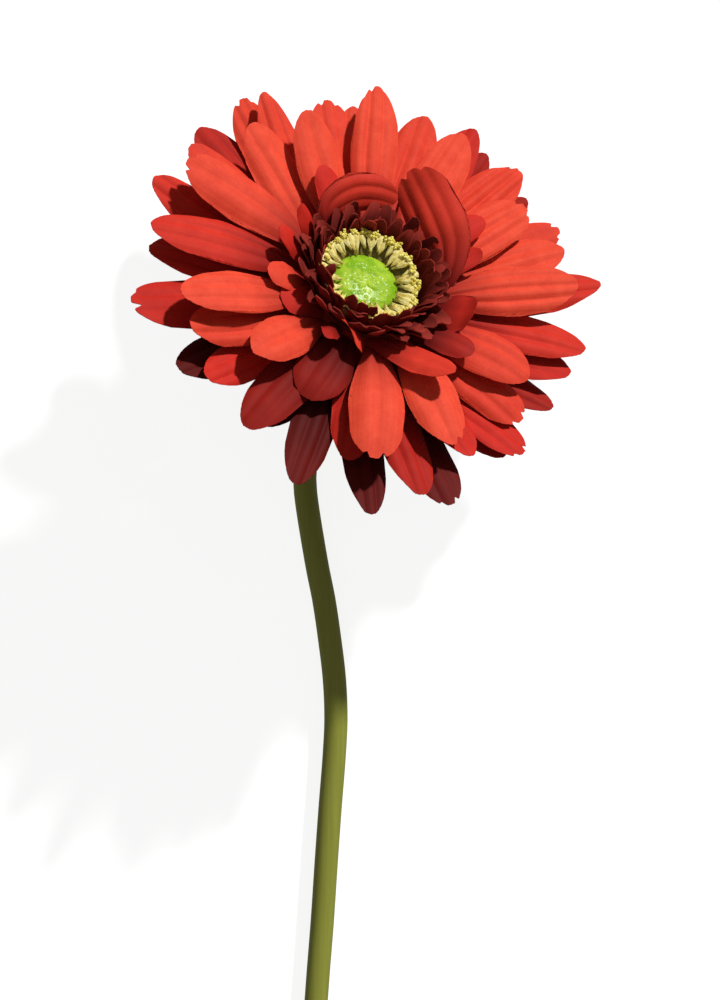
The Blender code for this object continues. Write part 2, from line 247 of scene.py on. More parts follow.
def press_petal(bm, petal, rib_depth, columns, rows, dice, place):
    """Adds one petal to a mesh. place gives the point for a share along it, mm across it and mm of lift."""
    uv_mm = bm.loops.layers.uv.get("cloth_mm") or bm.loops.layers.uv.new("cloth_mm")
    uv_share = bm.loops.layers.uv.get("petal_share") or bm.loops.layers.uv.new("petal_share")
    painted_shade_depth = bm.verts.layers.float.get("painted_shade_depth") or bm.verts.layers.float.new("painted_shade_depth")
    phase, wave = dice.uniform(0, 6.28), dice.uniform(*EDGE_WAVE)
    twist, curl = dice.uniform(*TWIST), dice.uniform(*TIP_CURL)
    skew, press, deepest = dice.uniform(*RIB_SKEW), dice.uniform(*PRESSURE), dice.uniform(*DEEPEST_PLACE)
    veins = petal.width / VEIN_SPACING
    grid = bmesh.ops.create_grid(bm, x_segments=columns, y_segments=rows, size=1)["verts"]
    flat = {}
    for vert in grid:
        across, share = vert.co.x, (vert.co.y + 1) / 2
        along = share * tip_reach(petal.tip, across, petal.length)
        side = across * cut_half_width(petal.width, along, petal.tip.taper)
        if share > ON_EDGE:
            along -= dice.uniform(0, TIP_FRAY) / petal.length
        elif abs(across) > ON_EDGE:
            side *= 1 - dice.uniform(0, SIDE_FRAY)
        formed = min(1, along / RIBS_FULL) * (1 - RIB_FADE * max(0, (along - RIBS_FADE) / (1 - RIBS_FADE)))
        bent = across + skew * math.sin(math.pi * along)
        rib = math.sqrt(math.sin(math.pi * petal.ribs * (bent + 1) / 2) ** 2 + VALLEY_ROUNDING)
        strength = DEEPEST_RIB - RIB_WEAKENING * abs(bent - deepest)
        lift = rib_depth * press * (rib - RIB_MIDDLE) * formed * strength
        lift += VEIN_DEPTH * math.cos(math.pi * veins * across) * formed
        lift += wave * across ** 2 * math.sin(EDGE_WAVES * along + phase) * along
        lift += twist * side * along + curl * max(0, (along - CURL_START) / (1 - CURL_START)) ** 2
        lift -= PETAL_CAMBER * abs(side) * abs(across)
        flat[vert] = (side, along * petal.length, across, along)
        vert.co = place(along, side * MM, lift * MM)
        # Each petal's painted shade goes on its vertices, for the cloth to darken it.
        vert[painted_shade_depth] = petal.dye
    for face in {face for vert in grid for face in vert.link_faces}:
        for loop in face.loops:
            side, length, across, along = flat[loop.vert]
            loop[uv_mm].uv = (side, length)
            loop[uv_share].uv = (across, along)


def petal_place(foot_radius, foot_height, direction, rise, petal):
    """The middle surface of a petal, an arc that leaves its foot at the rise and slopes less by its fall."""
    heading = math.radians(direction + petal.lean)
    foot = ring_point(foot_radius * MM, math.radians(direction), foot_height * MM)
    side_way = ring_point(1, heading + math.pi / 2, 0)

    def place(along, side, lift):
        bend = math.radians(petal.fall) * along / 2
        chord = petal.length * MM * along * (math.sin(bend) / bend if bend else 1)
        slope = math.radians(rise)
        reached = foot + ring_point(math.cos(slope - bend), heading, math.sin(slope - bend)) * chord
        ahead = ring_point(math.cos(slope - 2 * bend), heading, math.sin(slope - 2 * bend))
        return reached + side_way * side + ahead.cross(side_way) * lift

    return place


# How far apart the bands of a wave texture are at a scale of 1.
WAVE_REPEAT = 0.314


def petal_cloth():
    """Polyester taffeta, dyed red, stiffened and pressed: a fine weave with a soft sheen and no gloss."""
    material, shader = start_material("pressed_red_polyester_taffeta", {
        "Roughness": 0.7, "IOR": 1.5, "Specular IOR Level": 0.18,
        "Sheen Weight": 0.04, "Sheen Roughness": 0.4, "Sheen Tint": linear("#ff8060"),
    })
    cloth = add_node(material, "UVMap", {"uv_map": "cloth_mm"}, {})
    share = add_node(material, "UVMap", {"uv_map": "petal_share"}, {})
    # A thread is 0.27 mm wide, too fine to show, so the weave is drawn at 0.6 mm.
    weave_scale = WAVE_REPEAT / 0.6
    warp = add_node(material, "TexWave", {"bands_direction": "X"},
                    {"Vector": cloth.outputs[0], "Scale": weave_scale, "Distortion": 0.6, "Detail": 0})
    weft = add_node(material, "TexWave", {"bands_direction": "Y"},
                    {"Vector": cloth.outputs[0], "Scale": weave_scale, "Distortion": 0.6, "Detail": 0})
    weave = add_node(material, "Math", {"operation": "MULTIPLY"},
                     {0: warp.outputs["Fac"], 1: weft.outputs["Fac"]})
    # Dye takes unevenly, in faint streaks about 1 mm wide along the ribs and in a mottle that goes from 8 mm
    # down to grain.
    stretched = add_node(material, "Mapping", {}, {"Vector": share.outputs[0], "Scale": (5, 0.35, 1)})
    streaks = add_node(material, "TexNoise", {}, {"Vector": stretched.outputs[0], "Scale": 1.6, "Detail": 3})
    mottle = add_node(material, "TexNoise", {},
                      {"Vector": cloth.outputs[0], "Scale": 0.13, "Detail": 6, "Roughness": 0.8})
    mixed = add_node(material, "Mix", {}, {0: 0.72, 2: streaks.outputs[0], 3: mottle.outputs[0]})
    dyed = add_node(material, "ValToRGB", {}, {0: mixed.outputs[0]})
    dyed.color_ramp.elements[0].position = 0.35
    dyed.color_ramp.elements[0].color = linear("#dc3f29")
    dyed.color_ramp.elements[1].position = 0.65
    dyed.color_ramp.elements[1].color = linear("#f65538")
    along = add_node(material, "SeparateXYZ", {}, {0: share.outputs[0]})
    dye = add_node(material, "Attribute", {"attribute_name": "painted_shade_depth"}, {})
    # Painted shade at each petal's foot, where the petals over it shade it. The more painted shade a petal
    # has, the further the dark at its foot reaches.
    reach = add_node(material, "Math", {"operation": "MULTIPLY_ADD"},
                     {0: dye.outputs["Fac"], 1: -0.4, 2: along.outputs[1]})
    foot_shade_mask = add_node(material, "MapRange", {},
                         {"Value": reach.outputs[0], "From Min": 0.5, "From Max": 0.1})
    foot_shaded = add_node(material, "Mix", {"data_type": "RGBA"},
                    {0: foot_shade_mask.outputs[0], 6: dyed.outputs[0], 7: linear("#97231b")})
    # Painted shade also turns the cloth from orange red through crimson to brown, as red cloth looks in
    # shade.
    shade_tint = add_node(material, "ValToRGB", {}, {0: dye.outputs["Fac"]})
    shade_tint.color_ramp.elements[0].color = linear("#ffffff")
    shade_tint.color_ramp.elements[1].color = linear("#4c2c2c")
    shade_tint.color_ramp.elements.new(0.3).color = linear("#df939c")
    shade_tint.color_ramp.elements.new(0.75).color = linear("#9c6468")
    shade_tinted = add_node(material, "Mix", {"data_type": "RGBA", "blend_type": "MULTIPLY"},
                     {0: 1.0, 6: foot_shaded.outputs[2], 7: shade_tint.outputs[0]})
    grain = add_node(material, "MapRange", {}, {"Value": weave.outputs[0], "To Min": 0.95, "To Max": 1.04})
    woven = add_node(material, "Mix", {"data_type": "RGBA", "blend_type": "MULTIPLY"},
                     {0: 1.0, 6: shade_tinted.outputs[2], 7: grain.outputs[0]})
    bump = add_node(material, "Bump", {},
                    {"Height": weave.outputs[0], "Strength": 0.25, "Distance": 0.06 * MM})
    material.node_tree.links.new(woven.outputs[2], shader.inputs["Base Color"])
    material.node_tree.links.new(bump.outputs[0], shader.inputs["Normal"])
    return material


PETAL_CLOTH = petal_cloth()
RIB_DEPTH = 1.0

for number, (row_name, row) in enumerate([
        ("front", FRONT_ROW), ("second", SECOND_ROW), ("third", THIRD_ROW), ("back", BACK_ROW)], 1):
    count = 0
    for step, petal in enumerate(row.petals):
        if petal is None:
            continue
        count += 1
        direction = row.first + 360 / len(row.petals) * step
        bm = bmesh.new()
        place = petal_place(row.foot_radius, row.foot_height, direction, row.rise, petal)
        dice = random.Random(number * 100 + count)
        press_petal(bm, petal, RIB_DEPTH, PETAL_COLUMNS, PETAL_ROWS, dice, place)
        bm.transform(HEAD)
        obj = add_piece(f"{row_name}_petal_{count:02d}", bm, PETAL_CLOTH,
                        f"petal_{number}_{count:02d}")
        thicken(obj, CLOTH)

# ---------------------------------------------------------------------------------------------------------
# Two broad petals at the top curl sideways round the florets, tipped up to face them. They are the same
# cloth, pressed with lower ribs, and their midribs follow a listed route of radius, direction and height.

CurledPetal = namedtuple("CurledPetal", "stand petal midrib")
CURLED_PETALS = [
    CurledPetal(40, Petal(0, 36, 0, 15, 0.2, 4, TOOTHED), [
        (16.6, 1, -2.8), (18.3, 9, 1.8), (20.1, 26, 5.2), (21.6, 43, 7.4), (24.4, 59, 9.2), (27.2, 72, 12),
    ]),
    CurledPetal(48, Petal(0, 30, 0, 10, 0.2, 3), [
        (16.5, 125, -2.8), (18.7, 122, 1.4), (20.6, 116, 4), (21.8, 101, 5.6), (22, 86, 6), (22, 72, 5.6),
    ]),
]
CURLED_RIB_DEPTH = 0.6


def smooth_point(route, stretch, share):
    """A point on the smooth curve through the route, at a share of the way along one of its stretches."""
    start, stop = route[stretch], route[stretch + 1]
    before = route[stretch - 1] if stretch else 2 * start - stop
    after = route[stretch + 2] if stretch + 2 < len(route) else 2 * stop - start
    square, cube = share ** 2, share ** 3
    pull = (stop - before) * 0.5 * (share - 2 * square + cube) + (after - start) * 0.5 * (cube - square)
    return start.lerp(stop, 3 * square - 2 * cube) + pull


def curled_place(curled):
    """The middle surface of a curled petal, whose sheet is tipped up from flat by its stand."""
    route = [ring_point(r * MM, math.radians(turn), height * MM) for r, turn, height in curled.midrib]
    stand = math.radians(curled.stand)

    def place(along, side, lift):
        stretch = min(int(along * (len(route) - 1)), len(route) - 2)
        share = along * (len(route) - 1) - stretch
        point = smooth_point(route, stretch, share)
        step = smooth_point(route, stretch, share + 0.01) - smooth_point(route, stretch, share - 0.01)
        outward = Vector((point.x, point.y, 0)).normalized()
        facing = Vector((0, 0, math.cos(stand))) - outward * math.sin(stand)
        return point + facing.cross(step).normalized() * side + facing * lift

    return place


for number, curled in enumerate(CURLED_PETALS, 1):
    bm = bmesh.new()
    dice = random.Random(500 + number)
    press_petal(bm, curled.petal, CURLED_RIB_DEPTH, PETAL_COLUMNS, PETAL_ROWS, dice, curled_place(curled))
    bm.transform(HEAD)
    obj = add_piece(f"sideways_petal_{number}", bm, PETAL_CLOTH, f"curled_petal_{number}")
    thicken(obj, CLOTH)

# ---------------------------------------------------------------------------------------------------------
# Twelve small petals between the florets and the front row, cut in one piece with the collar they grow from.

# Where the moulded middle and the florets stand on the core.
CENTRE_FLOOR = -4.2
COLLAR_RADIUS = 15.2
COLLAR_EDGES = 60
COLLAR_TOP = CENTRE_FLOOR + 0.6
COLLAR_HEIGHT = 3.4
SMALL_RIB_DEPTH = 0.4
SMALL_COLUMNS = 20
SMALL_ROWS = 32
# Each small petal grows from a few edges of the collar, counted round it, and leaves it at its rise.
SmallPetal = namedtuple("SmallPetal", "first_edge edges rise petal")
SMALL_PETALS = [
    SmallPetal(2, 3, 33, Petal(-4, 17, 23, 7, 0.4, 2)),
    SmallPetal(5, 3, 28, Petal(-10, 23, 16, 8, 0.3, 2)),
    SmallPetal(16, 3, 27, Petal(10, 19, 10, 8, 0.3, 2)),
    SmallPetal(23, 2, 48, Petal(-6, 14, 0, 5, 0.3, 1)),
    SmallPetal(26, 2, 42, Petal(-4, 14, 4, 6, 0.3, 1)),
    SmallPetal(29, 3, 30, Petal(0, 13, 18, 8, 0.1, 1)),
    SmallPetal(34, 4, 18, Petal(-64, 12.2, 19, 10.8, 0.35, 1)),
    SmallPetal(38, 2, 36, Petal(0, 12, 2, 5, 0.6, 1)),
    SmallPetal(42, 3, 37, Petal(-60, 9, -20, 11, 0.15, 1)),
    SmallPetal(43, 3, 21, Petal(55, 24, -4, 9, 0.2, 2)),
    SmallPetal(51, 3, 28, Petal(10, 17, 14, 8, 0.6, 2)),
    SmallPetal(55, 4, 33, Petal(-4, 14, -6, 12.5, 0.5, 2)),
]


def add_collar(bm, radius, bottom, top, segments):
    """A short upright band of cloth, open at both edges."""
    ring = bmesh.ops.create_circle(bm, segments=segments, radius=radius * MM)["verts"]
    edges = list({edge for vert in ring for edge in vert.link_edges})
    bmesh.ops.translate(bm, verts=ring, vec=(0, 0, bottom * MM))
    raised = bmesh.ops.extrude_edge_only(bm, edges=edges)["geom"]
    bmesh.ops.translate(bm, verts=[item for item in raised if isinstance(item, bmesh.types.BMVert)],
                        vec=(0, 0, (top - bottom) * MM))


bm = bmesh.new()
for number, small in enumerate(SMALL_PETALS):
    direction = 360 / COLLAR_EDGES * (small.first_edge + small.edges / 2)
    place = petal_place(COLLAR_RADIUS, COLLAR_TOP, direction, small.rise, small.petal)
    dice = random.Random(600 + number)
    press_petal(bm, small.petal, SMALL_RIB_DEPTH, SMALL_COLUMNS, SMALL_ROWS, dice, place)
add_collar(bm, COLLAR_RADIUS, COLLAR_TOP - COLLAR_HEIGHT, COLLAR_TOP, COLLAR_EDGES)
bm.transform(HEAD)
thicken(add_piece("small_inner_petals", bm, PETAL_CLOTH, "small_petals"), CLOTH)

# ---------------------------------------------------------------------------------------------------------
# The florets: fringes of dark burgundy cloth wound round the middle, cut into small round-tipped strips that
# are cupped and curl every way. Each fringe is glued to a washer of the same cloth, which covers the core.

FLORET_CLOTH = 0.28 * MM
# Two bands hold each fringe, one at the inner strips' feet and one this far outside the outer strips'.
BAND_GAP = 0.5
BAND_TOP = CENTRE_FLOOR + 1.6
BAND_SIDES = 48
WASHER_RADIUS = 14.9
WASHER_FLOOR = CENTRE_FLOOR + 0.2
WASHER_STEP = 0.3
# Where the strips leave the band, their foot as a share of their full width, and where the round tip starts.
STRIP_FOOT = CENTRE_FLOOR + 1.5
STRIP_FOOT_WIDTH = 0.45
STRIP_TIP = 0.62
STRIP_COLUMNS = 4
STRIP_ROWS = 6
# The florets on this side, which is the raised one, stand more upright than the rest, by up to this angle.
NEAR_SIDE = HEAD_TURN + math.pi
NEAR_SIDE_STAND = 12
# Each strip has its own place in its share of the band, slope in degrees, share of the full length, sideways
# lean, twist, cup and curl in mm, and redness of its edges.
STRIP_PLACE = (0.2, 0.5)
STRIP_SLOPE = (-9, 9)
STRIP_LENGTH = (0.82, 1.08)
STRIP_SWAY = (-0.3, 0.3)
STRIP_TWIST = (-0.5, 0.5)
STRIP_CUP = (0.5, 1.6)
STRIP_CURL = (-2.2, 1.8)
STRIP_REDNESS = (0.1, 1)
Fringe = namedtuple("Fringe", "radius count length slope width")
FRINGES = {
    "inner_florets": [Fringe(13.2, 24, 8.6, 76, 3.9), Fringe(13.5, 26, 8.8, 66, 3.9)],
    "outer_florets": [Fringe(14.1, 24, 9.4, 56, 4.2), Fringe(14.4, 22, 9.0, 42, 4.2)],
}


def add_fringe(bm, fringe, dice):
    """Adds a fringe's strips to a mesh, each growing from the top of the band."""
    uv_share = bm.loops.layers.uv.get("petal_share") or bm.loops.layers.uv.new("petal_share")
    redness = bm.verts.layers.float.get("redness") or bm.verts.layers.float.new("redness")
    for number in range(fringe.count):
        turn = 2 * math.pi * (number + dice.uniform(*STRIP_PLACE)) / fringe.count
        stand = NEAR_SIDE_STAND * max(0, math.cos(turn - NEAR_SIDE))
        slope = math.radians(fringe.slope + dice.uniform(*STRIP_SLOPE) + stand)
        length = fringe.length * dice.uniform(*STRIP_LENGTH)
        sway, twist = dice.uniform(*STRIP_SWAY), dice.uniform(*STRIP_TWIST)
        cup, curl, red = dice.uniform(*STRIP_CUP), dice.uniform(*STRIP_CURL), dice.uniform(*STRIP_REDNESS)
        side_way = ring_point(1, turn + math.pi / 2, 0)
        ahead = ring_point(math.cos(slope), turn, math.sin(slope)) + side_way * sway
        up = ahead.cross(side_way)
        foot = ring_point(fringe.radius * MM, turn, STRIP_FOOT * MM)
        grid = bmesh.ops.create_grid(bm, x_segments=STRIP_COLUMNS, y_segments=STRIP_ROWS, size=1)["verts"]
        flat = {}
        for vert in grid:
            across, share = vert.co.x, (vert.co.y + 1) / 2
            along = share * (STRIP_TIP + (1 - STRIP_TIP) * max(0, 1 - abs(across) ** 2) ** 0.45)
            full = math.sin(math.pi / 2 * min(1, along / WIDEST))
            side = across * fringe.width / 2 * (STRIP_FOOT_WIDTH + (1 - STRIP_FOOT_WIDTH) * full)
            lift = cup * across ** 2 * along + twist * side * along + curl * max(0, 2 * along - 1) ** 2
            flat[vert] = (across, along)
            vert.co = foot + (ahead * length * along + side_way * side + up * lift) * MM
            vert[redness] = red
        for face in {face for vert in grid for face in vert.link_faces}:
            for loop in face.loops:
                loop[uv_share].uv = flat[loop.vert]


def floret_cloth():
    """Burgundy polyester, cut hot so that the edges are sealed and show redder than the face."""
    material, shader = start_material("burgundy_polyester_fringe", {
        "Roughness": 0.85, "Specular IOR Level": 0.05, "Sheen Weight": 0.03, "Sheen Roughness": 0.4,
        "Sheen Tint": linear("#ff6050"),
    })
    share = add_node(material, "UVMap", {"uv_map": "petal_share"}, {})
    parts = add_node(material, "SeparateXYZ", {}, {0: share.outputs[0]})
    outer = add_node(material, "Math", {"operation": "ABSOLUTE"}, {0: parts.outputs[0]})
    rim = add_node(material, "MapRange", {}, {"Value": outer.outputs[0], "From Min": 0.55, "To Max": 0.5})
    tip = add_node(material, "MapRange", {}, {"Value": parts.outputs[1], "From Min": 0.6, "To Max": 0.5})
    red = add_node(material, "Attribute", {"attribute_name": "redness"}, {})
    edges = add_node(material, "Math", {"operation": "ADD"}, {0: rim.outputs[0], 1: tip.outputs[0]})
    fac = add_node(material, "Math", {"operation": "MULTIPLY"}, {0: edges.outputs[0], 1: red.outputs["Fac"]})
    dyed = add_node(material, "Mix", {"data_type": "RGBA"},
                    {0: fac.outputs[0], 6: linear("#782822"), 7: linear("#cc473b")})
    place = add_node(material, "TexCoord", {}, {})
    # The pile of the cloth is about 0.1 mm, drawn at 0.4 mm so that it shows.
    pile = add_node(material, "TexNoise", {}, {"Vector": place.outputs["Object"], "Scale": 1 / (0.4 * MM)})
    bump = add_node(material, "Bump", {}, {"Height": pile.outputs[0], "Strength": 0.4, "Distance": 0.1 * MM})
    material.node_tree.links.new(dyed.outputs[2], shader.inputs["Base Color"])
    material.node_tree.links.new(bump.outputs[0], shader.inputs["Normal"])
    return material


FLORET_MATERIAL = floret_cloth()
for number, (node, fringes) in enumerate(FRINGES.items()):
    bm = bmesh.new()
    for layer, fringe in enumerate(fringes):
        add_fringe(bm, fringe, random.Random(700 + 10 * number + layer))
    for band_radius in (fringes[0].radius, fringes[1].radius + BAND_GAP):
        add_collar(bm, band_radius, CENTRE_FLOOR, BAND_TOP, BAND_SIDES)
    washer = Matrix.Translation((0, 0, (WASHER_FLOOR + WASHER_STEP * number) * MM))
    bmesh.ops.create_circle(bm, cap_ends=True, segments=BAND_SIDES, radius=WASHER_RADIUS * MM, matrix=washer)
    bm.transform(HEAD)
    thicken(add_piece(node + "_fringe", bm, FLORET_MATERIAL, node), FLORET_CLOTH)

# ---------------------------------------------------------------------------------------------------------
# The green disc: one glossy injection-moulded polyethylene dome, covered in low round bumps that stand for
# buds. They are set in a spiral, as buds grow, and the biggest are in the middle.

# The disc and the ring round it were glued on a little off the axis, to the left.
MIDDLE = HEAD @ Matrix.Translation(Vector((-1.1, -0.1, 0)) * MM)
DISC_RADIUS = 8.2
DISC_RISE = 1.6
DISC_STEPS = 40
DISC_SIDES = 128
DISC_BUMPS = 130
BUMP_HEIGHT = 0.3
BUMP_SIZE = (0.3, 0.6)
BIG_BUMP_SIZE = (0.5, 0.9)
BIG_BUMPS_RADIUS = 3.2
BARE_RIM = 1.2
# The bumps change only the disc's top, which is everything this far over its floor.
DISC_WALL = 1
GOLDEN_TURN = math.radians(137.508)


def turn_profile(bm, profile, segments):
    """Spins a profile of radius and height in mm, running down its outer side, about the head's axis."""
    verts = [bm.verts.new((radius * MM, 0, height * MM)) for radius, height in profile]
    edges = [bm.edges.new(pair) for pair in zip(verts, verts[1:])]
    bmesh.ops.spin(bm, geom=verts + edges, cent=(0, 0, 0), axis=(0, 0, 1), angle=2 * math.pi,
                   steps=segments, use_merge=True)
    bmesh.ops.remove_doubles(bm, verts=list(bm.verts), dist=0.00001)
    bmesh.ops.recalc_face_normals(bm, faces=list(bm.faces))


def disc_height(radius):
    """How high the dome is at a radius, from its middle, which is at 0."""
    return DISC_RISE * (math.sqrt(max(0, 1 - (radius / DISC_RADIUS) ** 2)) - 1)


def disc_plastic():
    """Moulded polyethylene, glossy and a little waxy, of an uneven green."""
    material, shader = start_material("glossy_moulded_green_polyethylene", {
        "Roughness": 0.28, "Specular IOR Level": 0.2,
        "Subsurface Weight": 0.15, "Subsurface Radius": (0.8, 1.0, 0.3), "Subsurface Scale": 0.001,
    })
    place = add_node(material, "TexCoord", {}, {})
    # Patches of lighter green are about 3 mm across.
    patches = add_node(material, "TexNoise", {}, {"Vector": place.outputs["Object"], "Scale": 1 / (3 * MM)})
    green = add_node(material, "ValToRGB", {}, {0: patches.outputs[0]})
    green.color_ramp.elements[0].position = 0.35
    green.color_ramp.elements[0].color = linear("#7fae1a")
    green.color_ramp.elements[1].position = 0.7
    green.color_ramp.elements[1].color = linear("#b2cf3c")
    # The mould leaves the skin faintly uneven, in ripples of 0.5 mm.
    skin = add_node(material, "TexNoise", {}, {"Vector": place.outputs["Object"], "Scale": 1 / (0.5 * MM)})
    bump = add_node(material, "Bump", {}, {"Height": skin.outputs[0], "Strength": 0.2, "Distance": 0.1 * MM})
    material.node_tree.links.new(green.outputs[0], shader.inputs["Base Color"])
    material.node_tree.links.new(bump.outputs[0], shader.inputs["Normal"])
    return material


bm = bmesh.new()
radii = [DISC_RADIUS * step / DISC_STEPS for step in range(DISC_STEPS + 1)]
dome = [(radius, disc_height(radius)) for radius in radii]
turn_profile(bm, [*dome, (DISC_RADIUS, CENTRE_FLOOR), (0, CENTRE_FLOOR)], DISC_SIDES)
dice = random.Random(81)
bumps = []
for number in range(DISC_BUMPS):
    radius = (DISC_RADIUS - BARE_RIM) * math.sqrt((number + dice.uniform(0, 1)) / DISC_BUMPS)
    size = dice.uniform(*(BIG_BUMP_SIZE if radius < BIG_BUMPS_RADIUS else BUMP_SIZE))
    turn = number * GOLDEN_TURN + dice.uniform(-0.6, 0.6)
    bumps.append((ring_point(radius * MM, turn, 0), size))
for vert in bm.verts:
    if vert.co.z > (CENTRE_FLOOR + DISC_WALL) * MM:
        flat = Vector((vert.co.x, vert.co.y, 0))
        for centre, size in bumps:
            near = max(0, 1 - ((flat - centre).length / (size * MM)) ** 2)
            vert.co.z += BUMP_HEIGHT * size * MM * near ** 2
bm.transform(MIDDLE)
add_piece("beaded_green_disc", bm, disc_plastic(), "green_disc")

# ---------------------------------------------------------------------------------------------------------
# The anther ring: a moulded cream ring with a folded strip for each anther, its point over the disc, and
# clusters of yellow pollen beads along its rim.

RING_SIDES = 64
ANTHERS = 46
ANTHER_COLUMNS = 4
ANTHER_ROWS = 7
# Each strip has its own inner and outer end, as radii, and its own lift of the point, fold and sideways lean.
ANTHER_INNER = (6.7, 8.9)
ANTHER_OUTER = (12.2, 13.0)
ANTHER_LIFT = (0, 1.4)
ANTHER_FOLD = (0.6, 1.2)
ANTHER_SWAY = (-0.9, 0.9)
# The height that the strips start at and how far they climb, then the half width of their point and how much
# wider they get.
ANTHER_FOOT = -0.4
ANTHER_CLIMB = 2.3
ANTHER_POINT = 0.05
ANTHER_HALF_WIDTH = 0.8
POLLEN_LUMPS = 38
POLLEN_RADII = (11.4, 12.7)
POLLEN_HEIGHT = 1.9
BEAD_RADIUS = (0.28, 0.48)
# The attribute "pollen" tells the parts of the ring apart. It stays 0 on the ring itself, far down in the
# gaps, whose colour is painted shade.
STRIP_SHADE = 0.5
BEAD_SHADE = 1.0
RING_PROFILE = [
    (8.3, -1.8), (9.4, -1.5), (10.8, -0.5), (11.8, 0.6), (12.4, 0.9), (12.8, 0.3), (12.8, CENTRE_FLOOR),
    (8.3, CENTRE_FLOOR), (8.3, -1.8),
]


def anther_plastic():
    """Moulded soft matt plastic: cream strips, yellow pollen, and painted olive shade far down between them.
    """
    material, shader = start_material("moulded_cream_plastic_with_pollen", {
        "Roughness": 0.5, "IOR": 1.48,
        "Subsurface Weight": 0.1, "Subsurface Radius": (0.8, 0.7, 0.3), "Subsurface Scale": 0.001,
    })
    shade = add_node(material, "Attribute", {"attribute_name": "pollen"}, {})
    place = add_node(material, "TexCoord", {}, {})
    # The colour is uneven in patches about 1 mm across.
    patches = add_node(material, "TexNoise", {}, {"Vector": place.outputs["Object"], "Scale": 1 / (1 * MM)})
    dark = add_node(material, "ValToRGB", {}, {0: shade.outputs["Fac"]})
    light = add_node(material, "ValToRGB", {}, {0: shade.outputs["Fac"]})
    # The first colour of each ramp is painted shade, for the ring far down in the gaps.
    for ramp, painted_gap_shade, strip, bead in ((dark, "#7d6a26", "#d8c35c", "#dcc63a"),
                                   (light, "#9c8840", "#f7ea9e", "#fdf184")):
        ramp.color_ramp.elements[0].color = linear(painted_gap_shade)
        ramp.color_ramp.elements.new(STRIP_SHADE).color = linear(strip)
        ramp.color_ramp.elements[2].color = linear(bead)
    spread = add_node(material, "MapRange", {},
                      {"Value": patches.outputs[0], "From Min": 0.35, "From Max": 0.65})
    colour = add_node(material, "Mix", {"data_type": "RGBA"},
                      {0: spread.outputs[0], 6: dark.outputs[0], 7: light.outputs[0]})
    material.node_tree.links.new(colour.outputs[2], shader.inputs["Base Color"])
    return material


def add_anther(bm, pollen, turn, dice):
    """A strip folded lengthwise, pointed at its inner end, from the disc's edge up to the rim."""
    side_way = ring_point(1, turn + math.pi / 2, 0)
    inner, outer = dice.uniform(*ANTHER_INNER), dice.uniform(*ANTHER_OUTER)
    lift, fold, sway = dice.uniform(*ANTHER_LIFT), dice.uniform(*ANTHER_FOLD), dice.uniform(*ANTHER_SWAY)
    grid = bmesh.ops.create_grid(bm, x_segments=ANTHER_COLUMNS, y_segments=ANTHER_ROWS, size=1)["verts"]
    for vert in grid:
        across, along = vert.co.x, (vert.co.y + 1) / 2
        radius = inner + (outer - inner) * along
        height = ANTHER_FOOT + ANTHER_CLIMB * min(1, along * 1.3) + lift * (1 - along) ** 2
        half = ANTHER_POINT + ANTHER_HALF_WIDTH * min(1, along * 1.7) ** 0.9
        side = across * half + sway * (1 - along)
        point = ring_point(radius, turn, height + fold * (0.5 - abs(across)) * (1 - 0.65 * along))
        vert.co = (point + side_way * side) * MM
        vert[pollen] = STRIP_SHADE


def add_bead(bm, place, radius):
    """A bead with a few dozen faces, set at a place in mm."""
    bmesh.ops.create_uvsphere(bm, u_segments=8, v_segments=5, radius=radius * MM,
                              matrix=Matrix.Translation(place * MM))


bm = bmesh.new()
pollen = bm.verts.layers.float.new("pollen")
turn_profile(bm, RING_PROFILE, RING_SIDES)
dice = random.Random(91)
for number in range(ANTHERS):
    add_anther(bm, pollen, 2 * math.pi * (number + dice.uniform(-0.25, 0.25)) / ANTHERS, dice)
first_bead = len(bm.verts)
for number in range(POLLEN_LUMPS):
    turn = 2 * math.pi * (number + dice.uniform(-0.4, 0.4)) / POLLEN_LUMPS
    # The lumps are smallest on the raised side.
    size = 0.6 - 0.3 * math.cos(turn - NEAR_SIDE) + dice.uniform(-0.15, 0.15)
    centre = ring_point(dice.uniform(*POLLEN_RADII), turn, POLLEN_HEIGHT + 0.4 * size)
    for bead in range(round(5 + 9 * size)):
        spread = Vector([max(-1, min(1, dice.gauss(0, 0.5))) * (0.9 * size + 0.2) for axis in range(3)])
        # A lump is flatter than it is wide.
        spread.z *= 0.6
        add_bead(bm, centre + spread, dice.uniform(*BEAD_RADIUS))
bm.verts.ensure_lookup_table()
for vert in bm.verts[first_bead:]:
    vert[pollen] = BEAD_SHADE
bm.transform(MIDDLE)
add_piece("pollen_anther_ring", bm, anther_plastic(), "anther_ring")

# ---------------------------------------------------------------------------------------------------------
# The core and the cup: injection-moulded green plastic. The petals' feet are glued round the core, and the
# cup under them has two rows of pointed bracts and takes the end of the stem.

CORE_BOTTOM = -14.8
CUP_BOTTOM = -25.0
STEM_TOP = -17.3
SOCKET_RADIUS = 3.3
SOCKET_TOP = STEM_TOP + 0.3
CUP_TOP = CORE_BOTTOM - 0.3
CUP_PROFILE = [
    (0, CUP_TOP), (10.7, CUP_TOP), (11.1, CUP_TOP - 0.6), (9.6, -18.6), (6.8, -22.4), (4.8, CUP_BOTTOM),
    (SOCKET_RADIUS, CUP_BOTTOM), (SOCKET_RADIUS, SOCKET_TOP), (0, SOCKET_TOP),
]
CUP_SIDES = 48
BRACTS_IN_ROW = 15
BRACT_THICKNESS = 0.3
BRACT_LENGTH = 8.6
BRACT_COLUMNS = 4
BRACT_ROWS = 8
# The bracts of the outer row lie this far over the inner row's and are this much shorter.
OUTER_BRACT_LIFT = 0.35
OUTER_BRACT_CUT = 1.8
# A bract's radius at its foot and how far it bows out, its half width at its foot and how much wider it gets.
BRACT_FOOT_RADIUS = 4.6
BRACT_BOW = 6.9
BRACT_FOOT = 1.2
BRACT_SPREAD = 0.6
BRACT_CUP = 0.35


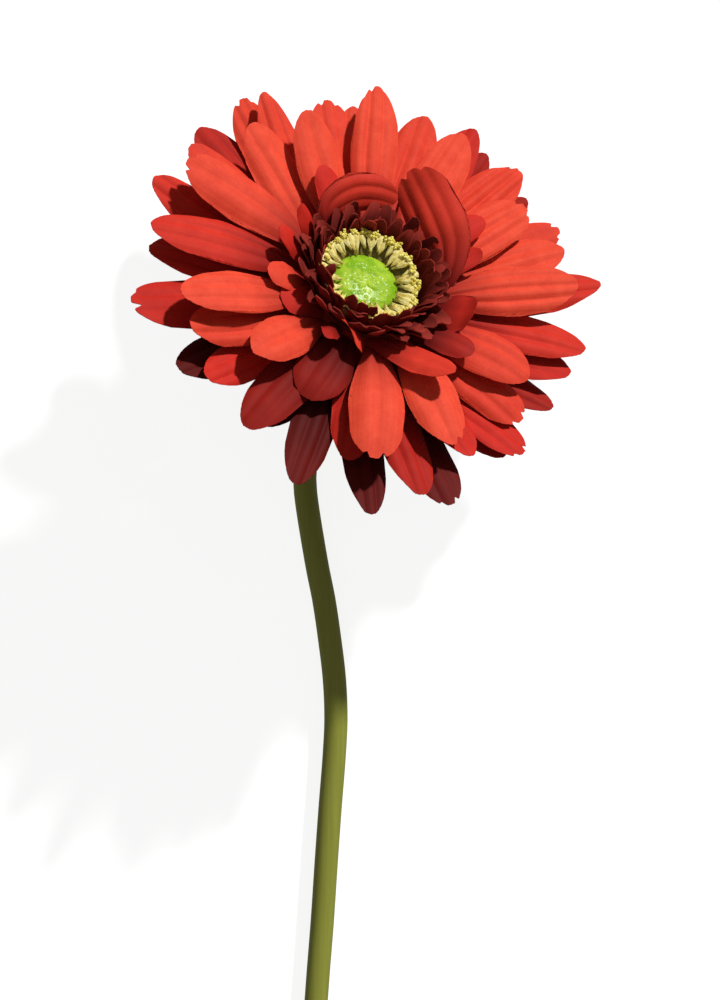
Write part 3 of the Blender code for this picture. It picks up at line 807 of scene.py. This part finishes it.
def cup_plastic():
    """Moulded matt green plastic with a fine mould texture, like the hairy bracts of the real flower."""
    material, shader = start_material("matt_moulded_green_plastic", {"Roughness": 0.55, "IOR": 1.48})
    place = add_node(material, "TexCoord", {}, {})
    # Shades change over about 4 mm. The mould's grain is 0.15 mm, drawn at 0.4 mm so that it shows.
    shades = add_node(material, "TexNoise", {}, {"Vector": place.outputs["Object"], "Scale": 1 / (4 * MM)})
    colour = add_node(material, "Mix", {"data_type": "RGBA"},
                      {0: shades.outputs[0], 6: linear("#566521"), 7: linear("#7d8e36")})
    grain = add_node(material, "TexNoise", {}, {"Vector": place.outputs["Object"], "Scale": 1 / (0.4 * MM)})
    bump = add_node(material, "Bump", {}, {"Height": grain.outputs[0], "Strength": 0.4, "Distance": 0.1 * MM})
    material.node_tree.links.new(colour.outputs[2], shader.inputs["Base Color"])
    material.node_tree.links.new(bump.outputs[0], shader.inputs["Normal"])
    return material


CUP_MATERIAL = cup_plastic()
for core_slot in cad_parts["core"].material_slots:
    core_slot.material = CUP_MATERIAL

bm = bmesh.new()
turn_profile(bm, CUP_PROFILE, CUP_SIDES)
for number in range(2 * BRACTS_IN_ROW):
    outer = number % 2
    turn = math.pi * number / BRACTS_IN_ROW
    side_way = ring_point(1, turn + math.pi / 2, 0)
    for vert in bmesh.ops.create_grid(bm, x_segments=BRACT_COLUMNS, y_segments=BRACT_ROWS, size=1)["verts"]:
        across, along = vert.co.x, (vert.co.y + 1) / 2
        bow = math.sin(math.pi / 2 * along) ** 1.2
        radius = BRACT_FOOT_RADIUS + BRACT_BOW * bow + OUTER_BRACT_LIFT * outer - BRACT_CUP * across ** 2
        height = CUP_BOTTOM + 0.2 + (BRACT_LENGTH - OUTER_BRACT_CUT * outer) * along
        half = (BRACT_FOOT + BRACT_SPREAD * bow) * math.sqrt(max(0, 1 - along ** 3))
        vert.co = (ring_point(radius, turn, height) + side_way * half * across) * MM
bm.transform(HEAD)
thicken(add_piece("bract_cup", bm, CUP_MATERIAL, "cup"), BRACT_THICKNESS * MM)

# ---------------------------------------------------------------------------------------------------------
# The stem: a plastic sleeve over a steel wire, which is bent by hand and cut off square. Its skin is faintly
# streaked along its length.

STEM_RADIUS = 3.0
WIRE_RADIUS = 1.2
WIRE_GAP = 0.3
SLEEVE_WALL = STEM_RADIUS - WIRE_RADIUS - WIRE_GAP
STEM_SIDES = 36
STEM_SPACING = 2.5
# Across and along from under the disc's middle, and height over the table, in mm.
STEM_ROUTE = [
    (-12.2, -20.6, 13.3), (-15.5, -31.1, 6.9), (-16.7, -43.3, 3.6), (-16.9, -52, 3), (-14.2, -69.4, 3),
    (-12.2, -79.6, 3), (-10.7, -89.8, 3), (-9.5, -100, 3), (-9.1, -110.2, 3), (-9.6, -120.4, 3),
    (-10.6, -133, 3), (-11.6, -147, 3), (-12.6, -162, 3), (-14, -180, 3), (-16, -210, 3), (-18, -240, 3),
    (-19.6, -270, 3), (-20.6, -300, 3), (-21, -322, 3), (-21.2, -336, 3),
]


def stem_points():
    """Straight out of the cup, then on a smooth curve through the route."""
    route = [HEAD @ Vector((0, 0, height * MM)) for height in (STEM_TOP, CUP_BOTTOM + 1)]
    foot = Vector((DISC_CENTRE.x, DISC_CENTRE.y, 0))
    route += [foot + Vector(point) * MM for point in STEM_ROUTE]
    points = [route[0]]
    for stretch in range(len(route) - 1):
        pieces = max(1, round((route[stretch + 1] - route[stretch]).length / (STEM_SPACING * MM)))
        points += [smooth_point(route, stretch, piece / pieces) for piece in range(1, pieces + 1)]
    return points


def stem_plastic():
    """Polyethylene sleeve, mid green with a satin skin, faintly streaked along its length."""
    material, shader = start_material("satin_green_polyethylene_sleeve", {
        "Roughness": 0.42, "Specular IOR Level": 0.35,
    })
    place = add_node(material, "TexCoord", {}, {})
    # Streaks are about 1 mm wide and 30 mm long.
    drawn = add_node(material, "Mapping", {},
                     {"Vector": place.outputs["Object"],
                      "Scale": (1 / (1 * MM), 1 / (30 * MM), 1 / (1 * MM))})
    streaks = add_node(material, "TexNoise", {}, {"Vector": drawn.outputs[0], "Scale": 1, "Detail": 3})
    colour = add_node(material, "Mix", {"data_type": "RGBA"},
                      {0: streaks.outputs[0], 6: linear("#84882a"), 7: linear("#a2a448")})
    bump = add_node(material, "Bump", {},
                    {"Height": streaks.outputs[0], "Strength": 0.3, "Distance": 0.15 * MM})
    material.node_tree.links.new(colour.outputs[2], shader.inputs["Base Color"])
    material.node_tree.links.new(bump.outputs[0], shader.inputs["Normal"])
    return material


bm = bmesh.new()
points = stem_points()
ring = bmesh.ops.create_circle(bm, segments=STEM_SIDES, radius=STEM_RADIUS * MM)["verts"]
edges = list({edge for vert in ring for edge in vert.link_edges})
where = points[0]
turned = (points[1] - points[0]).to_track_quat("Z", "X")
for vert in ring:
    vert.co = turned @ vert.co + where
# Each ring of the sleeve is drawn out from the last one and turned to face along the stem.
for before, point, after in zip(points, points[1:], [*points[2:], 2 * points[-1] - points[-2]]):
    drawn = bmesh.ops.extrude_edge_only(bm, edges=edges)["geom"]
    verts = [item for item in drawn if isinstance(item, bmesh.types.BMVert)]
    edges = [item for item in drawn if isinstance(item, bmesh.types.BMEdge)]
    heading = (after - before).normalized()
    bend = Vector((0, 0, 1)).rotation_difference(turned.inverted() @ heading)
    fresh = turned @ bend
    matrix = (Matrix.Translation(point) @ (fresh @ turned.inverted()).to_matrix().to_4x4()
              @ Matrix.Translation(-where))
    bmesh.ops.transform(bm, matrix=matrix, verts=verts)
    where, turned = point, fresh
bmesh.ops.recalc_face_normals(bm, faces=list(bm.faces))
stem = add_piece("sleeve_stem", bm, stem_plastic(), "stem")
thicken(stem, SLEEVE_WALL * MM, -1)

# ---------------------------------------------------------------------------------------------------------
# The wire inside the sleeve, which holds the stem's bends. It is drawn steel, and only its cut end shows, so
# the CAD node is kept and given its finish.


def wire_steel():
    """Drawn steel: dull bright metal with fine lines along it."""
    material, shader = start_material("drawn_steel_wire", {"Metallic": 1.0})
    place = add_node(material, "TexCoord", {}, {})
    # Drawing lines are 0.1 mm apart and run along the wire.
    drawn = add_node(material, "Mapping", {},
                     {"Vector": place.outputs["Object"],
                      "Scale": (1 / (0.1 * MM), 1 / (8 * MM), 1 / (0.1 * MM))})
    lines = add_node(material, "TexNoise", {}, {"Vector": drawn.outputs[0], "Scale": 1})
    rough = add_node(material, "MapRange", {}, {"Value": lines.outputs[0], "To Min": 0.3, "To Max": 0.5})
    colour = add_node(material, "Mix", {"data_type": "RGBA"},
                      {0: lines.outputs[0], 6: linear("#8f8e8b"), 7: linear("#b9b8b4")})
    material.node_tree.links.new(colour.outputs[2], shader.inputs["Base Color"])
    material.node_tree.links.new(rough.outputs[0], shader.inputs["Roughness"])
    return material


WIRE_MATERIAL = wire_steel()
for wire_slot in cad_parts["stem_wire"].material_slots:
    wire_slot.material = WIRE_MATERIAL

# ---------------------------------------------------------------------------------------------------------
# The table is plain and white, and glows a little, as a light table does. A lamp behind the head and to its
# right lights the flower, hard enough to show the ribs, and the rest of the room is dim.

TABLE_HALF_WIDTH = 3
SUN_TURN = math.radians(33)
SUN_HEIGHT = math.radians(28)
SUN_SOFTNESS = math.radians(4)
SUN_STRENGTH = 3.3
ROOM_STRENGTH = 0.19

bm = bmesh.new()
bmesh.ops.create_grid(bm, x_segments=1, y_segments=1, size=TABLE_HALF_WIDTH)
bmesh.ops.translate(bm, verts=bm.verts, vec=(0, 0, cad_box[0][2]))
table_mesh = bpy.data.meshes.new("table_top")
bm.to_mesh(table_mesh)
bm.free()
table_mesh.materials.append(start_material("white_light_table", {
    "Base Color": linear("#a8a8a6"), "Roughness": 0.9,
    "Emission Color": linear("#ffffff"), "Emission Strength": 0.86,
})[0])
table_top = bpy.data.objects.new("table_top", table_mesh)
bpy.context.scene.collection.objects.link(table_top)
table_top.visible_diffuse = False
table_top.visible_glossy = False

sun = bpy.data.lights.new("key", "SUN")
sun.energy = SUN_STRENGTH
sun.angle = SUN_SOFTNESS
key = bpy.data.objects.new("key", sun)
to_sun = Vector((math.sin(SUN_TURN) * math.cos(SUN_HEIGHT), math.cos(SUN_TURN) * math.cos(SUN_HEIGHT),
                 math.sin(SUN_HEIGHT)))
key.rotation_euler = to_sun.to_track_quat("Z", "Y").to_euler()
bpy.context.scene.collection.objects.link(key)

world = bpy.data.worlds.new("room")
world.use_nodes = True
world.node_tree.nodes["Background"].inputs["Color"].default_value = linear("#ffffff")
world.node_tree.nodes["Background"].inputs["Strength"].default_value = ROOM_STRENGTH
bpy.context.scene.world = world
